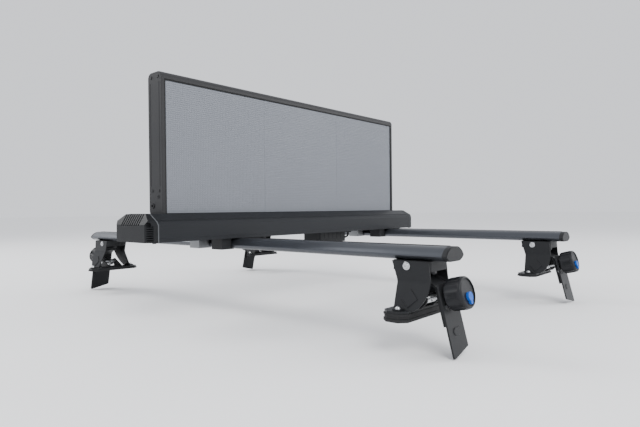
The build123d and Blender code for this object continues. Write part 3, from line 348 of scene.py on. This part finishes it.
def groove_shadow_strip():
    """Black strip in the gap between the window's edge and the modules: painted shadow of the recessed
    groove, drawn in the black rubber finish.
    """
    low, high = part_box("led_modules")
    front, back = low.y - 2.4 * MM, low.y + 0.1 * MM
    width, lift, edge = 3.0 * MM, 1.2 * MM, 0.7 * MM
    x0, x1, z0, z1 = low.x + lift, high.x - lift, low.z + lift, high.z - lift
    shape = Shape()
    shape.bar((x0, front, z1 - width), (x1, back, z1), edge)
    shape.bar((x0, front, z0), (x1, back, z0 + width), edge)
    shape.bar((x0, front, z0), (x0 + width, back, z1), edge)
    shape.bar((x1 - width, front, z0), (x1, back, z1), edge)
    shape.finish("groove_shadow_strip", "panel", "black_rubber", "rubber")


def back_cover_details():
    """Louvred vents and edge screws of the back cover."""
    low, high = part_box("back_cover")
    middle = (low + high) / 2
    face = high.y
    vents, screws = Shape(), Shape()
    slats, slat_pitch, lowest_slat, bank_offset = 9, 13 * MM, 52 * MM, 290 * MM
    # place along the slat, how far its lip stands out, and the lip's height
    stations = ((-60 * MM, 0.1 * MM, 7 * MM), (-54 * MM, 0.35 * MM, 6.6 * MM),
                (54 * MM, 0.35 * MM, 6.6 * MM), (60 * MM, 0.1 * MM, 7 * MM))
    for side in (-1, 1):
        x = middle.x + side * bank_offset
        for slat in range(slats):
            z = middle.z - lowest_slat + slat * slat_pitch
            vents.loft([
                [(x + along, face - 0.8 * MM, z), (x + along, face + proud, z + lip),
                 (x + along, face - 0.8 * MM, z + 8 * MM)]
                for along, proud, lip in stations
            ])
    count, margin = 7, 8 * MM
    for i in range(count):
        x = low.x + margin + i * (high.x - low.x - 2 * margin) / (count - 1)
        for z in (low.z + margin, high.z - margin):
            screw_head(screws, (x, face - 0.4 * MM, z), (0, 1, 0), 3 * MM, 0.9 * MM)
    vents.finish("back_vents", "panel", "panel_black", "panel")
    screws.finish("back_cover_screws", "panel", "bright_zinc", "zinc")


def end_plate_details():
    """Two upright seams and a vent plug low on each end plate."""
    low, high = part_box("panel_end_plates")
    seam_low, seam_high = low.z + 70 * MM, high.z - 24 * MM
    seam_inset, seam_width, seam_proud = 9 * MM, 1.2 * MM, 0.5 * MM
    plug = [(0, 5.2 * MM), (0.9 * MM, 5.2 * MM), (1.3 * MM, 4.6 * MM),
            (1.3 * MM, 2.4 * MM), (0.6 * MM, 2.1 * MM)]
    shape = Shape()
    for x, direction in ((low.x, -1), (high.x, 1)):
        centre = (x - direction * 0.4 * MM, low.y + 17 * MM, low.z + 46 * MM)
        shape.turned(centre, (direction, 0, 0), plug)
        for y in (low.y + seam_inset, high.y - seam_inset - seam_width):
            shape.bar((x - seam_proud, y, seam_low), (x + seam_proud, y + seam_width, seam_high), 0.3 * MM)
    shape.finish("end_plate_trim", "panel", "panel_black", "plastic")


# ------------------------------------------------------------------ base housing and bars
ROOT = "rack_and_base"


def housing_ribs():
    """Fine ribs along the two sloping shoulders and the front face of the extrusion."""
    low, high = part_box("base_housing")
    shoulder_y, shoulder_z, run, rise = 6.0 * MM, 46.0 * MM, 28.0, 18.0
    slope = Vector((0, run, rise)).normalized() * MM
    end_gap, edge = 1 * MM, 0.25 * MM
    shape = Shape()
    for side in (-1, 1):
        for step in (3.0, 5.5, 8.0):
            y = (low.y if side < 0 else high.y) - side * (shoulder_y + slope.y * step)
            z = low.z + shoulder_z + slope.z * step
            shape.bar((low.x + end_gap, y - 0.45 * MM, z - 0.3 * MM),
                      (high.x - end_gap, y + 0.45 * MM, z + 0.45 * MM), edge)
    for z in (6.0 * MM, 8.5 * MM):
        shape.bar((low.x + end_gap, low.y - 0.3 * MM, low.z + z),
                  (high.x - end_gap, low.y + 0.3 * MM, low.z + z + 0.9 * MM), edge)
    shape.finish("housing_ribs", ROOT, "black_paint", "housing")


def bar_strips():
    """Ribbed rubber strip in each bar's crown, stopped short of the base housing."""
    low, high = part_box("cross_bars")
    sign_low, sign_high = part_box("end_gaskets")
    half_bar, half_strip, half_rib = 35 * MM, 5.5 * MM, 0.6 * MM
    bar_gap, sign_gap = 2 * MM, 3 * MM
    stretches = ((low.y + bar_gap, sign_low.y - sign_gap), (sign_high.y + sign_gap, high.y - bar_gap))
    shape = Shape()
    for x in (low.x + half_bar, high.x - half_bar):
        for y0, y1 in stretches:
            shape.bar((x - half_strip, y0, high.z - 0.6 * MM),
                      (x + half_strip, y1, high.z + 0.5 * MM), 0.5 * MM)
            for rib in (-3.2 * MM, 0.0, 3.2 * MM):
                shape.bar((x + rib - half_rib, y0, high.z + 0.2 * MM),
                          (x + rib + half_rib, y1, high.z + 1.0 * MM), 0.3 * MM)
    shape.finish("bar_strips", ROOT, "black_rubber", "rubber")


def hex_nut(shape, centre, axis, radius, height, near_chamfer):
    """Six-sided nut, chamfered on both faces."""
    chamfer = 0.6 * MM
    shape.turned(centre, axis, [
        (0, radius - chamfer), (near_chamfer, radius),
        (height - chamfer, radius), (height, radius - chamfer)], 6)


def box_details():
    """Lid screws and stiffening ribs of the junction box, and nuts on the glands."""
    low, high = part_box("junction_box")
    inset, half_rib, rib_proud = 9 * MM, 1.2 * MM, 0.8 * MM
    screws, ribs = Shape(), Shape()
    for x in (low.x + inset, high.x - inset):
        for y in (low.y + inset, high.y - inset):
            screw_head(screws, (x, y, low.z), (0, 0, -1), 3.2 * MM, 1.4 * MM)
    for i in range(5):
        x = low.x + (24 + 20 * i) * MM
        for y in (low.y, high.y):
            ribs.bar((x - half_rib, y - rib_proud, low.z + 12 * MM),
                     (x + half_rib, y + rib_proud, high.z - 2 * MM), 0.5 * MM)
    glands_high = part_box("cable_glands")[1]
    lead_low, lead_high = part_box("box_lead")
    middle_y = (lead_low.y + lead_high.y) / 2
    lower = (high.x + 1 * MM, middle_y, lead_low.z + 3 * MM)
    upper = (glands_high.x - 11 * MM, middle_y, glands_high.z - 11 * MM)
    hex_nut(ribs, lower, (1, 0, 0), 9.2 * MM, 4.8 * MM, 0.6 * MM)
    hex_nut(ribs, upper, (0, 0, -1), 12.4 * MM, 4.0 * MM, 0.5 * MM)
    screws.finish("box_lid_screws", ROOT, "bright_zinc", "zinc")
    ribs.finish("box_ribs", ROOT, "black_plastic", "plastic")


# ------------------------------------------------------------------ feet
def knob_axis(foot):
    for joint in frame["joints"]:
        if joint["name"] == f"knob_turn_{foot}":
            return Vector(joint["pos_m"]), Vector(joint["axis"]).normalized()


def bolt_thread(foot):
    """Rolled thread along the inboard end of the clamp bolt."""
    origin, axis = knob_axis(foot)
    turn = Vector((0, 0, 1)).rotation_difference(axis).to_matrix()
    pitch, turns, steps, start = 1.25 * MM, 44, 16, -65.5 * MM
    root, crest, half_flank = 3.9 * MM, 4.15 * MM, 0.5 * MM
    rings = []
    for i in range(turns * steps):
        angle = 2 * pi * i / steps
        outward = turn @ Vector((cos(angle), sin(angle), 0))
        centre = origin + axis * (start + pitch * i / steps)
        rings.append([centre + outward * root - axis * half_flank, centre + outward * crest,
                      centre + outward * root + axis * half_flank])
    shape = Shape()
    shape.loft(rings)
    shape.finish(f"bolt_thread_{foot}", f"hand_knob_{foot}", "bright_zinc", "zinc", 60.0)


def knob_details(foot):
    """Gripping ridges on the knob's lobes and a raised ring round its face."""
    origin, axis = knob_axis(foot)
    turn = Vector((0, 0, 1)).rotation_difference(axis).to_matrix()
    lobes, knob_radius, ridge_spacing = 8, 30 * MM, radians(3.6)
    half_ridge, ridge_depth = 0.6 * MM, 0.9 * MM
    # distance along the knob, and the ridge's height over the lobe
    ridge_profile = ((12 * MM, -0.6 * MM), (14 * MM, 0.55 * MM),
                     (34 * MM, 0.55 * MM), (36 * MM, -0.6 * MM))
    shape = Shape()
    for lobe in range(lobes):
        for ridge in (-2, -1, 0, 1, 2):
            angle = 2 * pi * lobe / lobes + ridge * ridge_spacing
            outward = turn @ Vector((cos(angle), sin(angle), 0))
            across = axis.cross(outward)
            rings = []
            for along, lift in ridge_profile:
                centre = origin + axis * along + outward * (knob_radius + lift)
                rings.append([centre - across * half_ridge - outward * ridge_depth, centre,
                              centre + across * half_ridge - outward * ridge_depth])
            shape.loft(rings)
    face = origin + axis * 41.5 * MM
    # radius round the face, and height over it
    ring_profile = ((25.1 * MM, -0.3 * MM), (25.3 * MM, 0.4 * MM),
                    (25.9 * MM, 0.4 * MM), (26.2 * MM, -0.3 * MM))
    steps = 48
    rings = []
    for i in range(steps):
        angle = 2 * pi * i / steps
        outward = turn @ Vector((cos(angle), sin(angle), 0))
        rings.append([face + outward * radius + axis * height for radius, height in ring_profile])
    shape.loft(rings + [rings[0]], close_ends=False)
    shape.finish(f"knob_grip_{foot}", f"hand_knob_{foot}", "black_plastic", "knob")


def side_washers(foot):
    """Washers under the foot's two side screws."""
    low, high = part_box("foot_screws")
    strap_low, strap_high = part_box(f"clamp_strap_{foot}")
    middle = (strap_low.x + strap_high.x) / 2
    inset, reach = 5.6 * MM, 35.0 * MM
    y = low.y + inset if foot.endswith("front") else high.y - inset
    z = (low.z + high.z) / 2
    shape = Shape()
    for side in (-1, 1):
        shape.turned((middle + side * reach, y, z), (side, 0, 0), [
            (-0.2 * MM, 7.6 * MM), (0.7 * MM, 7.6 * MM), (1.1 * MM, 7.0 * MM)])
    shape.finish(f"side_washers_{foot}", ROOT, "bright_zinc", "zinc")


# ------------------------------------------------------------------ stage
def make_camera():
    """Eye beside the left front foot, a little above the bars, as wide as the frame needs."""
    yaw, pitch, roll = radians(40.74), radians(-0.43), radians(-0.58)
    forward = Vector((cos(yaw) * cos(pitch), sin(yaw) * cos(pitch), sin(pitch)))
    right = Vector((sin(yaw), -cos(yaw), 0))
    up = right.cross(forward)
    right_rolled = right * cos(roll) + up * sin(roll)
    up_rolled = up * cos(roll) - right * sin(roll)
    data = bpy.data.cameras.new("camera")
    data.lens, data.sensor_width = 29.25, 36.0
    data.clip_start, data.clip_end = 0.01, 100.0
    camera = bpy.data.objects.new("camera", data)
    turn = Matrix((right_rolled, up_rolled, -forward)).transposed().to_4x4()
    camera.matrix_world = Matrix.Translation((-1.2284, -1.1088, 0.1964)) @ turn
    bpy.context.scene.collection.objects.link(camera)
    bpy.context.scene.camera = camera


def area_light(name, place, target, size, power):
    data = bpy.data.lights.new(name, "AREA")
    data.shape, data.size, data.energy = "DISK", size, power
    light = bpy.data.objects.new(name, data)
    light.location = place
    light.rotation_euler = (Vector(target) - Vector(place)).to_track_quat("-Z", "Y").to_euler()
    bpy.context.scene.collection.objects.link(light)


def make_stage():
    """Pale floor just below the hooks, an even sky and three soft lights."""
    floor_z, span = cad_box[0].z - 1.5 * MM, 30.0
    corners = ((-span, -span), (span, -span), (span, span), (-span, span))
    data = bpy.data.meshes.new("floor")
    data.from_pydata([(x, y, floor_z) for x, y in corners], [], [(0, 1, 2, 3)])
    floor = bpy.data.objects.new("floor", data)
    paint = Finish("studio_floor", (0.95, 0.95, 0.95), 0.9)
    data.materials.append(paint.material)
    bpy.context.scene.collection.objects.link(floor)
    world = bpy.data.worlds.new("studio")
    world.use_nodes = True
    sky = world.node_tree.nodes["Background"]
    sky.inputs["Color"].default_value = (0.93, 0.95, 1.0, 1)
    sky.inputs["Strength"].default_value = 1.15
    bpy.context.scene.world = world
    area_light("key", (-2.0, -3.2, 3.2), (0, 0, 0.2), 2.6, 130)
    area_light("fill", (3.0, -3.0, 1.6), (0, 0, 0.2), 2.2, 60)
    area_light("rim", (-1.5, 3.0, 2.8), (0, 0, 0.3), 2.0, 90)


make_camera()
make_stage()
dress_cad_nodes()
led_lamps()
module_louvres()
groove_shadow_strip()
back_cover_details()
end_plate_details()
housing_ribs()
bar_strips()
box_details()
for foot in FEET:
    bolt_thread(foot)
    knob_details(foot)
    side_washers(foot)
